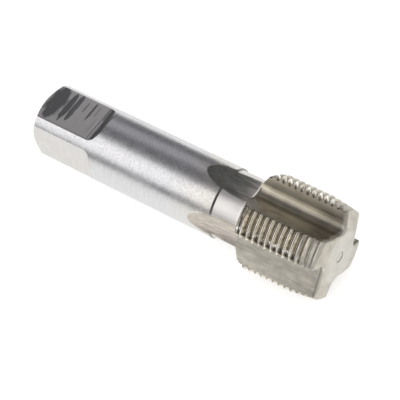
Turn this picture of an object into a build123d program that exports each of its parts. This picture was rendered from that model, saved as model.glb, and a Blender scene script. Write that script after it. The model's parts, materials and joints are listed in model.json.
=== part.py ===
from build123d import *
import math
import os

# A straight-fluted hand tap, one bar of hardened tool steel. It lies along X, from the middle of its
# drive end at the origin to its tip, with a flute underneath so that it rests on the edges of two lands.
# Sizes are in millimetres and angles in degrees.

# Whole tool
overall_length = 93.0
shank_diameter = 20.0

# Squared drive end
square_across_flats = 16.0
square_length = 17.9
square_runout_radius = 3.5
square_turn = 3.0
end_chamfer_length = 1.5
end_chamfer_angle = 30.0

# Neck between the shank and the threaded head
neck_length = 8.0
neck_step = 0.4

# Threaded head
head_length = 26.0
thread_diameter = 27.0
thread_pitch = 1.814
thread_depth_share = 0.6134
crest_flat_share = 0.125
flank_half_angle = 30.0
thread_phase = 0.23
thread_overrun_angle = 6.0
shoulder_angle = 60.0
back_bevel_angle = 30.0
back_bevel_depth = 1.3
lead_length = 8.0
lead_angle = 8.5
tip_flat_diameter = 14.1
tip_cone_length = 0.7

# Flutes
flute_count = 4
land_angle = 34.0
cutting_face_foot = 6.6
flute_floor_fillet = 2.3

# Run-out scoops, one behind each flute
scoop_floor_radius = 7.5
scoop_cross_radius = 8.4
scoop_wheel_radius = 43.0
scoop_turn = 6.0
scoop_sweep = 45.0

# Centre holes
centre_hole_diameter = 2.9
centre_pilot_diameter = 1.5
centre_pilot_depth = 3.6
centre_cone_angle = 60.0

# Clearance by which cutting forms run past the metal they cut
run_past = 1.0

# Sizes that follow from the ones above
shank_radius = shank_diameter / 2
neck_radius = shank_radius - neck_step
thread_radius = thread_diameter / 2
thread_depth = thread_depth_share * thread_pitch
root_radius = thread_radius - thread_depth
shoulder_top_radius = thread_radius - back_bevel_depth
head_back = overall_length - head_length
neck_start = head_back - neck_length
flute_step = 360 / flute_count
flute_angle = flute_step - land_angle


def slope(angle):
    """The rise for each millimetre along the axis of a line that leans at this angle to it."""
    return math.tan(math.radians(angle))


def turned_blank():
    """The bar as it leaves the lathe: shank, neck and head, before any flat, flute or thread is cut."""
    end_radius = shank_radius - end_chamfer_length / slope(end_chamfer_angle)
    shoulder_end = head_back + (shoulder_top_radius - neck_radius) / slope(shoulder_angle)
    bevel_end = shoulder_end + back_bevel_depth / slope(back_bevel_angle)
    lead_start = overall_length - lead_length
    lead_end = overall_length - tip_cone_length
    lead_radius = thread_radius - (lead_end - lead_start) * slope(lead_angle)
    outline = Polyline(
        (0, 0),
        (0, end_radius),
        (end_chamfer_length, shank_radius),
        (neck_start, shank_radius),
        (neck_start + neck_step, neck_radius),
        (head_back, neck_radius),
        (shoulder_end, shoulder_top_radius),
        (bevel_end, thread_radius),
        (lead_start, thread_radius),
        (lead_end, lead_radius),
        (overall_length, tip_flat_diameter / 2),
        (overall_length, 0),
        close=True,
    )
    return revolve(make_face(outline), Axis.X)


def square_cutter():
    """The metal milled away over the top flat, ending in the concave run-out that the cutter leaves."""
    flat_height = square_across_flats / 2
    top = flat_height + square_runout_radius + shank_radius
    runout_end = square_length + square_runout_radius
    floor = Line((-run_past, flat_height), (square_length, flat_height))
    runout = CenterArc(
        (square_length, flat_height + square_runout_radius), square_runout_radius, -90, 90
    )
    wall = Polyline(
        (runout_end, flat_height + square_runout_radius),
        (runout_end, top),
        (-run_past, top),
        (-run_past, flat_height),
    )
    side = Plane.XZ * make_face(floor + runout + wall)
    return extrude(side, amount=shank_diameter, both=True)


def flute_cutter():
    """The V of one flute: a radial cutting face, a rounded floor and a long flat back, along the head."""
    half = math.radians(flute_angle / 2)
    foot = Vector(cutting_face_foot * math.cos(half), -cutting_face_foot * math.sin(half))
    heel = Vector(thread_radius * math.cos(half), thread_radius * math.sin(half))
    reach = 2 * thread_radius
    face_end = foot + Vector(math.cos(half), -math.sin(half)) * reach
    back_end = foot + (heel - foot).normalized() * reach
    section = make_face(Polyline(foot, face_end, back_end, close=True))
    section = fillet(section.vertices().sort_by_distance(foot)[0], flute_floor_fillet)
    start = Plane(origin=(head_back, 0, 0), x_dir=(0, 1, 0), z_dir=(1, 0, 0))
    return extrude(start * section, amount=head_length + run_past)


def scoop_cutter():
    """The path of a round-nosed wheel that lifts out of the neck and shank behind a flute."""
    nose = Pos(scoop_floor_radius + scoop_cross_radius, 0) * Circle(scoop_cross_radius)
    start = Plane(origin=(head_back, 0, 0), x_dir=(0, 1, 0), z_dir=(1, 0, 0))
    wheel_axis = Axis((head_back, scoop_floor_radius + scoop_wheel_radius, 0), (0, 0, 1))
    wheel = revolve(start * nose, wheel_axis, revolution_arc=-scoop_sweep)
    return Rot(-scoop_turn, 0, 0) * wheel


def thread_groove():
    """One groove between two crests, swept along the helix across the first land, from edge to edge."""
    span = land_angle + 2 * thread_overrun_angle
    rise = thread_pitch * span / 360
    mouth = thread_pitch * (1 - crest_flat_share)
    root_flat = mouth - 2 * thread_depth * slope(flank_half_angle)
    outer = thread_depth + run_past
    section = make_face(
        Polyline(
            (0, -root_flat / 2),
            (thread_depth, -mouth / 2),
            (outer, -mouth / 2),
            (outer, mouth / 2),
            (thread_depth, mouth / 2),
            (0, root_flat / 2),
            close=True,
        )
    )
    path = Helix(pitch=thread_pitch, height=rise, radius=root_radius)
    across = Plane(origin=path @ 0, x_dir=(1, 0, 0), z_dir=path % 0)
    groove = sweep(across * section, path=path, is_frenet=True)
    along_x = Pos(-rise / 2, 0, 0) * Rot(0, 90, 0) * Rot(0, 0, 90) * groove
    return Rot(flute_step / 2 - span / 2, 0, 0) * along_x


def thread_grooves():
    """Every groove of the thread: each land has its own row, a fraction of a turn on from the last."""
    groove = thread_groove()
    count = math.ceil(head_length / thread_pitch) + 1
    start = head_back + thread_phase
    return [
        Pos(start + thread_pitch * (turn + land / flute_count), 0, 0) * Rot(flute_step * land, 0, 0) * groove
        for land in range(flute_count)
        for turn in range(count)
    ]


def centre_hole():
    """A drilled pilot with a countersunk mouth, pointing into the metal along +X from the origin."""
    mouth_radius = centre_hole_diameter / 2
    pilot_radius = centre_pilot_diameter / 2
    cone_depth = (mouth_radius - pilot_radius) / slope(centre_cone_angle / 2)
    outline = Polyline(
        (-run_past, 0),
        (-run_past, mouth_radius),
        (0, mouth_radius),
        (cone_depth, pilot_radius),
        (centre_pilot_depth, pilot_radius),
        (centre_pilot_depth + pilot_radius / slope(centre_cone_angle), 0),
        close=True,
    )
    return revolve(make_face(outline), Axis.X)


def tap():
    """The finished tap: the blank with its square, flutes, run-outs, thread and centre holes cut."""
    body = turned_blank()
    body -= [Rot(90 * side + square_turn, 0, 0) * square_cutter() for side in range(4)]
    body -= [Rot(flute_step * place, 0, 0) * flute_cutter() for place in range(flute_count)]
    body -= [Rot(flute_step * place, 0, 0) * scoop_cutter() for place in range(flute_count)]
    body -= thread_grooves()
    body -= centre_hole()
    body -= Pos(overall_length, 0, 0) * Rot(0, 180, 0) * centre_hole()
    return body.solid()


os.makedirs("parts", exist_ok=True)
export_step(tap(), "parts/tap.step")
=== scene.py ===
"""Looks of a straight-fluted hand tap: its ground shank, milled square, flutes and screw thread.

The tap lies along X, from its squared drive end at the origin to its cutting tip. Sizes are in
millimetres and angles in degrees until a mesh or a lamp is made; Blender's own numbers are in metres.
"""

import json
import logging
import math
from abc import ABC, abstractmethod
from dataclasses import dataclass
from enum import Enum
from typing import Callable, Union

import bmesh
import bpy
import numpy as np
from mathutils import Euler, Matrix, Vector


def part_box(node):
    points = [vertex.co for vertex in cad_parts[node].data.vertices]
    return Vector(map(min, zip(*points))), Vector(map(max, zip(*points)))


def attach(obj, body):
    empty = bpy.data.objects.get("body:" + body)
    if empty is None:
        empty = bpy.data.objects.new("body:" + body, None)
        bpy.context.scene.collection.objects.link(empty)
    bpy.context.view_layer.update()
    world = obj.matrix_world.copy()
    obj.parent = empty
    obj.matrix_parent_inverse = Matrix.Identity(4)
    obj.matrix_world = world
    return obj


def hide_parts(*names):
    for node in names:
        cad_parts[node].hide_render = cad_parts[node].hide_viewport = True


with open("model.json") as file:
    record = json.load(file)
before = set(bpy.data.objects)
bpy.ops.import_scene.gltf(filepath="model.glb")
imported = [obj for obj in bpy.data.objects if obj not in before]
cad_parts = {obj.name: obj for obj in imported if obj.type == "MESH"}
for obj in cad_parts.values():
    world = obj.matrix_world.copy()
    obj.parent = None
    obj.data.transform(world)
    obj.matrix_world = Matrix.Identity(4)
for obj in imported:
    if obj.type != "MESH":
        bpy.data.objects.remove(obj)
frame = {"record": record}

LOG = logging.getLogger("tap")
MM = 0.001
QUARTERS = 4
QUARTER_ANGLE = 360 / QUARTERS
HALVINGS = 60
STORED = ("way", "ease", "zone")
CORNERS = ((-1, -1), (1, -1), (1, 1), (-1, 1))
NOISE_ROUGHNESS = 0.55
NOISE_GAIN = 3.0

Colour = tuple[float, float, float]
Span = tuple[float, float]
Paint = Union[bpy.types.NodeSocket, Colour]


# ---------------------------------------------------------------------------------------------
# Sizes
# ---------------------------------------------------------------------------------------------


@dataclass(frozen=True)
class TapSizes:
    """Sizes of the tap, in millimetres and degrees. The first three come from the frame."""

    length: float
    shank_radius: float
    flat_height: float
    square_length: float = 17.9
    square_runout_radius: float = 3.5
    square_turn: float = 3.0
    end_chamfer_length: float = 1.5
    end_chamfer_angle: float = 30.0
    neck_length: float = 8.0
    neck_step: float = 0.4
    head_length: float = 26.0
    thread_radius: float = 13.5
    pitch: float = 1.814
    depth_share: float = 0.6134
    crest_share: float = 0.125
    flank_half_angle: float = 30.0
    thread_phase: float = 0.23
    shoulder_angle: float = 60.0
    back_bevel_angle: float = 30.0
    back_bevel_depth: float = 1.3
    lead_length: float = 8.0
    lead_angle: float = 8.5
    tip_flat_radius: float = 7.05
    tip_cone_length: float = 0.7
    tip_round: float = 0.6
    land_angle: float = 34.0
    face_foot: float = 6.6
    floor_fillet: float = 2.3
    scoop_floor: float = 7.5
    scoop_cross_radius: float = 8.4
    scoop_wheel_radius: float = 43.0
    scoop_turn: float = -6.0
    hole_radius: float = 1.45
    pilot_radius: float = 0.75
    pilot_depth: float = 3.6
    hole_cone_angle: float = 60.0
    edge_break: float = 0.05
    cutting_edge_break: float = 0.2
    crest_break: float = 0.035

    @classmethod
    def from_frame(cls) -> "TapSizes":
        """Takes the length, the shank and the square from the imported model.

        Returns:
            The sizes of the whole tool.
        """
        mounts = {mount["name"]: mount for mount in frame["record"]["mounts"]}
        low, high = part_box("tap")
        flat = Vector(mounts["flat_top"]["pos_m"])
        return cls(
            length=(high[0] - low[0]) / MM,
            shank_radius=mounts["shank"]["dims"]["r_mm"],
            flat_height=math.hypot(flat.y, flat.z) / MM,
        )

    @property
    def neck_radius(self) -> float:
        """Radius of the neck behind the head."""
        return self.shank_radius - self.neck_step

    @property
    def head_back(self) -> float:
        """Place of the head's back plane along X."""
        return self.length - self.head_length

    @property
    def neck_start(self) -> float:
        """Place of the step from the shank to the neck."""
        return self.head_back - self.neck_length

    @property
    def thread_depth(self) -> float:
        """Depth of the thread from crest to root."""
        return self.depth_share * self.pitch

    @property
    def root_radius(self) -> float:
        """Radius of the thread's root."""
        return self.thread_radius - self.thread_depth

    @property
    def mouth(self) -> float:
        """Width of a groove at the crests."""
        return self.pitch * (1 - self.crest_share)

    @property
    def root_flat(self) -> float:
        """Width of the flat floor of a groove."""
        return self.mouth - 2 * self.thread_depth * slope(self.flank_half_angle)

    @property
    def half_flute(self) -> float:
        """Half the angle of a flute at the thread's radius."""
        return (QUARTER_ANGLE - self.land_angle) / 2

    @property
    def shoulder_radius(self) -> float:
        """Radius at which the steep shoulder meets the bevel behind the thread."""
        return self.thread_radius - self.back_bevel_depth

    @property
    def shoulder_end(self) -> float:
        """Place along X where the steep shoulder ends."""
        return self.head_back + (self.shoulder_radius - self.neck_radius) / slope(self.shoulder_angle)

    @property
    def bevel_end(self) -> float:
        """Place along X where the bevel behind the thread ends."""
        return self.shoulder_end + self.back_bevel_depth / slope(self.back_bevel_angle)

    @property
    def square_end(self) -> float:
        """Place along X where the run-outs of the square end."""
        return self.square_length + self.square_runout_radius

    @property
    def lead_start(self) -> float:
        """Place along X where the lead begins to taper."""
        return self.length - self.lead_length

    @property
    def lead_end(self) -> float:
        """Place along X where the lead meets the blunt cone of the tip."""
        return self.length - self.tip_cone_length

    @property
    def lead_radius(self) -> float:
        """Radius at which the lead meets the blunt cone of the tip."""
        fall = (self.lead_length - self.tip_cone_length) * slope(self.lead_angle)
        return self.thread_radius - fall

    @property
    def hole_cone_slope(self) -> float:
        """Slope of the wall of a centre hole's countersink."""
        return slope(self.hole_cone_angle / 2)

    @property
    def hole_cone_depth(self) -> float:
        """Depth of a centre hole's countersink."""
        return (self.hole_radius - self.pilot_radius) / self.hole_cone_slope

    @property
    def hole_depth(self) -> float:
        """Depth of a centre hole to the point of its pilot."""
        return self.pilot_depth + self.pilot_radius / slope(self.hole_cone_angle)

    def tip_place(self, radius: float) -> float:
        """Place along X of the tip's face at this distance from the axis."""
        share = (radius - self.tip_flat_radius) / (self.lead_radius - self.tip_flat_radius)
        return self.length - self.tip_cone_length * max(0.0, share)


def slope(angle: float) -> float:
    """Rise for each millimetre along a line that leans at this angle, in degrees."""
    return math.tan(math.radians(angle))


def polar(radius: float, angle: float) -> np.ndarray:
    """Point of the YZ plane at this radius and angle, in degrees from +Y towards +Z."""
    return radius * np.array([math.cos(math.radians(angle)), math.sin(math.radians(angle))])


def angle_of(point: np.ndarray) -> float:
    """Angle of a point of the YZ plane, in degrees from +Y towards +Z."""
    return math.degrees(math.atan2(point[1], point[0]))


def turned(points: np.ndarray, angle: float) -> np.ndarray:
    """Points of the YZ plane, turned about the axis by an angle in degrees."""
    c, s = math.cos(math.radians(angle)), math.sin(math.radians(angle))
    return points @ np.array([[c, s], [-s, c]])


def all_round(quarter: np.ndarray) -> np.ndarray:
    """The points of a whole ring, from those of its first quarter."""
    return np.vstack([turned(quarter, QUARTER_ANGLE * place) for place in range(QUARTERS)])


def crossing(gap: Callable[[float], float], low: float, high: float) -> float:
    """Finds by halving where a gap that changes sign is nil.

    Args:
        gap: The gap for a number.
        low: The least number to try.
        high: The greatest number to try.

    Returns:
        The number at which the gap is nil.
    """
    rising = gap(high) > 0
    for _ in range(HALVINGS):
        middle = (low + high) / 2
        if (gap(middle) > 0) == rising:
            high = middle
        else:
            low = middle
    return (low + high) / 2


# ---------------------------------------------------------------------------------------------
# The form of the bar
# ---------------------------------------------------------------------------------------------


class Zone(Enum):
    """The surfaces of the tap, each with its own finish. The value is its material index."""

    SHANK = 0
    SQUARE = 1
    RUNOUT = 2
    FLUTE = 3
    THREAD = 4
    TURNED_END = 5


class Flute:
    """Section of one flute about +Y: a radial cutting face, a rounded floor and a flat back."""

    def __init__(self, sizes: TapSizes, inset: float = 0.0) -> None:
        """Works out the corner points of the section.

        Args:
            sizes: The sizes of the tool.
            inset: How far every wall of the flute lies inside the metal.
        """
        half = sizes.half_flute
        foot = polar(sizes.face_foot, -half)
        self.face_way = polar(1.0, -half)
        heel = polar(sizes.thread_radius, half)
        self.back_way = (heel - foot) / np.linalg.norm(heel - foot)
        self.shift = turned(self.back_way, 90.0) * inset
        opening = math.acos(float(self.face_way @ self.back_way))
        self.floor_radius = sizes.floor_fillet + inset
        reach = self.floor_radius / math.tan(opening / 2)
        middle = self.face_way + self.back_way
        middle /= np.linalg.norm(middle) * math.sin(opening / 2)
        self.foot = foot - middle * inset
        self.face_end = self.foot + self.face_way * reach
        self.back_start = self.foot + self.back_way * reach
        self.centre = self.foot + middle * self.floor_radius
        self.arc_from = angle_of(self.face_end - self.centre)
        self.arc_sweep = -((self.arc_from - angle_of(self.back_start - self.centre)) % 360)

    def on_arc(self, share: float) -> np.ndarray:
        """Point of the rounded floor, from the face's end at 0 to the back's start at 1."""
        return self.centre + polar(self.floor_radius, self.arc_from + self.arc_sweep * share)

    def _reach(self, way: np.ndarray, radius: float) -> np.ndarray:
        """Finds a point on a wall.

        Args:
            way: The way in which the wall leaves the foot.
            radius: The point's distance from the axis.

        Returns:
            The point.
        """
        along = float(self.foot @ way)
        square = along * along - float(self.foot @ self.foot) + radius * radius
        return self.foot + way * (-along + math.sqrt(square))

    def face(self, radius: float) -> np.ndarray:
        """Point of the cutting face at a given distance from the axis."""
        return self._reach(self.face_way, radius)

    def heel(self, radius: float) -> np.ndarray:
        """Point of the back at a given distance from the axis."""
        return self._reach(self.back_way, radius)


@dataclass(frozen=True)
class Scoop:
    """Section of the run-out behind a flute: a round-nosed wheel that lifts out of the bar."""

    sizes: TapSizes

    @property
    def start(self) -> float:
        """Works out where the wheel leaves the shank.

        Returns:
            The place along X.
        """
        sizes = self.sizes
        lift = sizes.scoop_wheel_radius - (sizes.shank_radius - sizes.scoop_floor)
        return sizes.head_back - math.sqrt(sizes.scoop_wheel_radius**2 - lift**2)

    def floor(self, x: float) -> float:
        """Works out how deep the scoop is.

        Args:
            x: Place along X.

        Returns:
            Distance from the axis to the scoop's floor.
        """
        sizes = self.sizes
        back = sizes.head_back - x
        wheel = sizes.scoop_wheel_radius
        return sizes.scoop_floor + wheel - math.sqrt(wheel**2 - back**2)

    def spread(self, x: float, radius: float) -> float:
        """Works out how much of the wheel's nose is inside the bar.

        Args:
            x: Place along X.
            radius: Radius of the bar there.

        Returns:
            Half the angle of the part inside, at the nose's own centre.
        """
        nose = self.sizes.scoop_cross_radius
        far = self.floor(x) + nose
        cosine = (far * far + nose * nose - radius * radius) / (2 * far * nose)
        return math.degrees(math.acos(min(1.0, cosine)))

    def point(self, x: float, beta: float) -> np.ndarray:
        """Finds a point of the scoop.

        Args:
            x: Place along X.
            beta: Angle about the centre of the wheel's nose, from the floor.

        Returns:
            The point of the YZ plane.
        """
        nose = self.sizes.scoop_cross_radius
        local = np.array([self.floor(x) + nose, 0.0]) - polar(nose, -beta)
        return turned(local, self.sizes.scoop_turn)


@dataclass(frozen=True)
class Columns:
    """How many steps each stretch of a quarter of the section has."""

    face: int = 6
    floor: int = 13
    back: int = 6
    heel: int = 4
    land: int = 18
    lip: int = 3

    @property
    def hollow(self) -> int:
        """Steps across the hollow part of a quarter."""
        return self.face + self.floor + self.back

    @property
    def ridge(self) -> int:
        """Steps across the standing part of a quarter."""
        return self.heel + self.land + self.lip

    @property
    def quarter(self) -> int:
        """Points of a quarter of the section."""
        return self.hollow + self.ridge + 2


@dataclass(frozen=True)
class Rings:
    """How many steps each stretch of the tool has along its axis."""

    chamfer: int = 6
    square: int = 8
    square_runout: int = 14
    shank: int = 8
    scoop: int = 18
    neck: int = 8
    shoulder: int = 4
    rim: int = 6


@dataclass(frozen=True)
class Ring:
    """A ring of the skin, in millimetres, with what the thread's cut needs to know at its points."""

    points: np.ndarray
    ways: np.ndarray
    eases: np.ndarray
    zones: tuple[Zone, Zone]


class TapForm:
    """Builds the bar as one closed skin of rings, from the drive end's centre hole to the tip's."""

    WALL_SHARES = (0.0, 0.3, 0.65)
    HEEL_EASE = 0.8
    LEAN_REACH = 0.5
    LARGEST_EASE = 0.3
    EASE_RUN = 0.5
    SCOOP_CROWDING = 1.6
    COLUMN_TUCK = 7.0
    NARROW = 1e-4
    TINY = 1e-6

    def __init__(self, sizes: TapSizes, columns: Columns, steps: Rings) -> None:
        """Args:
            sizes: The sizes of the tool.
            columns: How finely each section is divided.
            steps: How finely the tool is divided along its axis.
        """
        self.sizes = sizes
        self.columns = columns
        self.steps = steps
        self.flute = Flute(sizes)
        self.scoop = Scoop(sizes)
        self.rings: list[Ring] = []
        self._settle_meeting()

    def _settle_meeting(self) -> None:
        """Finds where the flute and the run-out cross in the plane at the back of the head."""
        sizes = self.sizes
        back = sizes.head_back
        spread = self.scoop.spread(back, sizes.neck_radius)
        centre = polar(self.scoop.floor(back) + sizes.scoop_cross_radius, sizes.scoop_turn)

        def gap(point: np.ndarray) -> float:
            """How far a point of the flute stands outside the scoop's wheel."""
            return float(np.linalg.norm(point - centre)) - sizes.scoop_cross_radius

        def share_of(point: np.ndarray) -> float:
            """Share of the scoop's arc at a point on it."""
            y, z = turned(point - centre, -sizes.scoop_turn)
            return (math.degrees(math.atan2(z, -y)) + spread) / (2 * spread)

        back_start = float(np.linalg.norm(self.flute.back_start))
        out = crossing(lambda radius: gap(self.flute.heel(radius)), back_start, sizes.neck_radius)
        self.meet_out = self.flute.heel(out)
        self.share_in = crossing(lambda share: gap(self.flute.on_arc(share)), 0.0, 0.5)
        self.scoop_in = share_of(self.flute.on_arc(self.share_in))
        self.scoop_out = share_of(self.meet_out)
        low = angle_of(self.flute.heel(sizes.neck_radius))
        high = QUARTER_ANGLE - sizes.half_flute
        edge = angle_of(self.scoop.point(back, spread))
        far_edge = angle_of(self.scoop.point(back, -spread)) + QUARTER_ANGLE
        self.heel_share = (edge - low) / (high - low)
        self.lip_share = (far_edge - low) / (high - low)

    def radius(self, x: float) -> float:
        """Works out the radius of the turned bar, before any flat, flute or thread is cut.

        Args:
            x: Place along X.

        Returns:
            The radius there.
        """
        sizes = self.sizes
        end = sizes.shank_radius - sizes.end_chamfer_length / slope(sizes.end_chamfer_angle)
        neck = sizes.neck_start + sizes.neck_step
        places = [0, sizes.end_chamfer_length, sizes.neck_start, neck, sizes.head_back]
        radii = [end, sizes.shank_radius, sizes.shank_radius, sizes.neck_radius, sizes.neck_radius]
        places += [sizes.shoulder_end, sizes.bevel_end, sizes.lead_start, sizes.lead_end]
        radii += [sizes.shoulder_radius, sizes.thread_radius, sizes.thread_radius, sizes.lead_radius]
        return float(np.interp(x, places, radii))

    def shares(self, first: float, second: float, hollow: bool) -> np.ndarray:
        """Even steps along a stretch that has two marks on it.

        Args:
            first: Share of the stretch at the first mark.
            second: Share at the second mark.
            hollow: True for the hollow part's count of steps, False for the standing part's.

        Returns:
            Shares from 0 to 1.
        """
        columns = self.columns
        counts = (columns.heel, columns.land, columns.lip)
        if hollow:
            counts = (columns.face, columns.floor, columns.back)
        marks = (0.0, first, second, 1.0)
        parts = [np.linspace(marks[i], marks[i + 1], counts[i] + 1)[:-1] for i in range(3)]
        return np.concatenate(parts + [np.array([1.0])])

    def add_ring(
        self,
        x: np.ndarray | float,
        points: np.ndarray,
        zones: tuple[Zone, Zone],
        ways: np.ndarray | None = None,
        eases: np.ndarray | None = None,
    ) -> None:
        """Adds a ring of the skin.

        Args:
            x: Place along X, of all the points or of each.
            points: Places in the YZ plane.
            zones: The finishes of the hollows and of the ridges, up to the next ring.
            ways: The way in which the thread cuts each point back, if it isn't towards the axis.
            eases: How far each point is eased below the thread, if any is.
        """
        if ways is None:
            ways = -points / np.linalg.norm(points, axis=1)[:, None]
        if eases is None:
            eases = np.zeros(len(points))
        places = np.column_stack([np.full(len(points), x), points])
        self.rings.append(Ring(places, ways, eases, zones))

    def arc(self, radius: float, low: float, high: float, shares: np.ndarray) -> np.ndarray:
        """Points on a circle about the axis between two angles."""
        return np.array([polar(radius, low + (high - low) * share) for share in shares])

    def bar_section(self, x: float, radius: float | None = None, break_edges: bool = True) -> np.ndarray:
        """Section of the shank or neck, with its flats or run-outs.

        Args:
            x: Place along X.
            radius: Radius there, if it isn't the turned bar's own.
            break_edges: Whether the edges of the hollows are eased.

        Returns:
            The points of the ring.
        """
        sizes = self.sizes
        radius = self.radius(x) if radius is None else radius
        level = np.linspace(0, 1, self.columns.hollow + 1)
        if x > self.scoop.start:
            spread = self.scoop.spread(x, radius)
            edge = angle_of(self.scoop.point(x, spread)) - sizes.scoop_turn
            widest = self.LARGEST_EASE * radius * math.radians(edge)
            ease = min(sizes.edge_break, widest) if break_edges else 0.0
            inner = spread - math.degrees(ease / sizes.scoop_cross_radius)
            shares = self.shares(self.scoop_in, self.scoop_out, True)
            hollow = np.array([self.scoop.point(x, inner * (2 * share - 1)) for share in shares])
            low = sizes.scoop_turn + edge + math.degrees(ease / radius)
            high = QUARTER_ANGLE + sizes.scoop_turn - edge - math.degrees(ease / radius)
        else:
            height = self.flat_level(x)
            half = math.acos(min(1.0, height / radius))
            width = radius * math.sin(half)
            ease = min(sizes.edge_break, self.LARGEST_EASE * width)
            past = max(0.0, x - sizes.square_end) / (self.scoop.start - sizes.square_end)
            place = sizes.square_turn + (sizes.scoop_turn - sizes.square_turn) * past
            across = (2 * level - 1) * (width - ease)
            if width > self.TINY:
                hollow = turned(np.column_stack([np.full_like(across, height), across]), place)
            else:
                hollow = np.tile(polar(radius, place), (len(level), 1))
            low = place + math.degrees(half + ease / radius)
            high = QUARTER_ANGLE + place - math.degrees(half + ease / radius)
        land = np.linspace(0, 1, self.columns.land + 1)
        shares = np.concatenate([np.zeros(self.columns.heel), land, np.ones(self.columns.lip)])
        return all_round(np.vstack([hollow, self.arc(radius, low, high, shares)]))

    def flat_level(self, x: float) -> float:
        """Works out how low the square is milled, with the concave run-out at its end.

        Args:
            x: Place along X.

        Returns:
            Distance from the axis to the flat.
        """
        sizes = self.sizes
        past = min(max(0.0, x - sizes.square_length), sizes.square_runout_radius)
        level = sizes.flat_height + sizes.square_runout_radius
        return level - math.sqrt(sizes.square_runout_radius**2 - past**2)

    def head_section(
        self, radius: float, share: float = 1.0, inset: float = 0.0
    ) -> tuple[np.ndarray, np.ndarray, np.ndarray]:
        """Section of the fluted head.

        Args:
            radius: Radius of the lands.
            share: How much of their full size the broken edges of the lands have.
            inset: How far the walls of the flutes lie inside the metal.

        Returns:
            The points, the way in which each is cut back by the thread, and how far it is eased.
        """
        sizes, columns = self.sizes, self.columns
        flute = Flute(sizes, inset) if inset else self.flute
        ease, front = sizes.edge_break * share, sizes.cutting_edge_break * share
        top = flute.face(radius) - flute.face_way * front
        wall = [top + (flute.face_end - top) * part for part in self.WALL_SHARES]
        arc_in = np.linspace(0, self.share_in, columns.face - len(wall) + 1)[:-1]
        floor = np.linspace(self.share_in, 1.0, columns.floor)
        heel = flute.heel(radius - ease * self.HEEL_EASE)
        meet = self.meet_out + flute.shift
        back = [meet + (heel - meet) * step / columns.back for step in range(columns.back + 1)]
        hollow = wall + [flute.on_arc(part) for part in (*arc_in, *floor)] + back
        low = angle_of(flute.heel(radius)) + math.degrees(ease / radius)
        high = QUARTER_ANGLE + angle_of(flute.face(radius)) - math.degrees(front / radius)
        shares = self.shares(self.heel_share, self.lip_share, False)
        ridge = self.arc(radius, low, high, shares)
        eases = np.zeros(columns.quarter)
        eases[0] = front
        eases[columns.hollow] = ease * self.HEEL_EASE
        radial = -ridge / radius
        lean = np.clip(1 - shares / self.LEAN_REACH, 0, 1)[:, None]
        back_way = -flute.back_way[None, :] * lean + radial * (1 - lean)
        ways = np.vstack(
            [
                np.tile(-flute.face_way, (columns.face, 1)),
                np.tile(-flute.back_way, (columns.floor + columns.back + 1, 1)),
                back_way / np.linalg.norm(back_way, axis=1)[:, None],
            ]
        )
        return all_round(np.vstack([hollow, ridge])), all_round(ways), np.tile(eases, QUARTERS)

    def lean_of_columns(self) -> np.ndarray:
        """Works out how far along X each column of the head runs ahead, to follow the thread's helix.

        Returns:
            The lean of each column.
        """
        sizes, quarter, hollow = self.sizes, self.columns.quarter, self.columns.hollow + 1
        points, _, _ = self.head_section(sizes.thread_radius)
        angles = np.array([angle_of(point) % 360 for point in points])
        leans = np.zeros(len(points))
        for start in range(0, len(points), quarter):
            ridge = slice(start + hollow, start + quarter)
            leans[ridge] = sizes.pitch * (angles[ridge] - QUARTER_ANGLE / 2) / 360
        for start in range(0, len(points), quarter):
            before, after = leans[start - 1], leans[start + hollow]
            leans[start : start + hollow] = np.linspace(before, after, hollow + 2)[1:-1]
        return leans

    def build(self) -> bpy.types.Object:
        """Builds the whole skin, with the head still plain.

        Returns:
            An object with the skin and, on its points, the way and ease of the thread's cut.
        """
        self._drive_end()
        self._bar()
        self._head()
        self._tip()
        return self._skin()

    def _hole(self) -> list[tuple[float, float]]:
        """Works out the outline of a centre hole.

        Returns:
            Depths and radii, from the hole's point to the face round its mouth.
        """
        sizes = self.sizes
        mouth = sizes.hole_radius - sizes.edge_break * sizes.hole_cone_slope
        pilot = [(sizes.pilot_depth, sizes.pilot_radius), (sizes.hole_cone_depth, sizes.pilot_radius)]
        rim = [(sizes.edge_break, mouth), (0.0, sizes.hole_radius + sizes.edge_break)]
        return [(sizes.hole_depth, 0.0)] + pilot + rim

    def _drive_end(self) -> None:
        """The centre hole and the face of the drive end."""
        end = self.radius(0.0)
        face = [(0.0, (self.sizes.hole_radius + end) / 2), (0.0, end - self.sizes.edge_break)]
        for x, radius in self._hole() + face:
            circle = self.bar_section(0.0, max(radius, self.NARROW))
            self.add_ring(x, circle, (Zone.TURNED_END, Zone.TURNED_END))

    def _bar_ring(self, x: float, zones: tuple[Zone, Zone]) -> None:
        """Adds a ring of the shank or neck."""
        self.add_ring(x, self.bar_section(x), zones)

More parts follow.
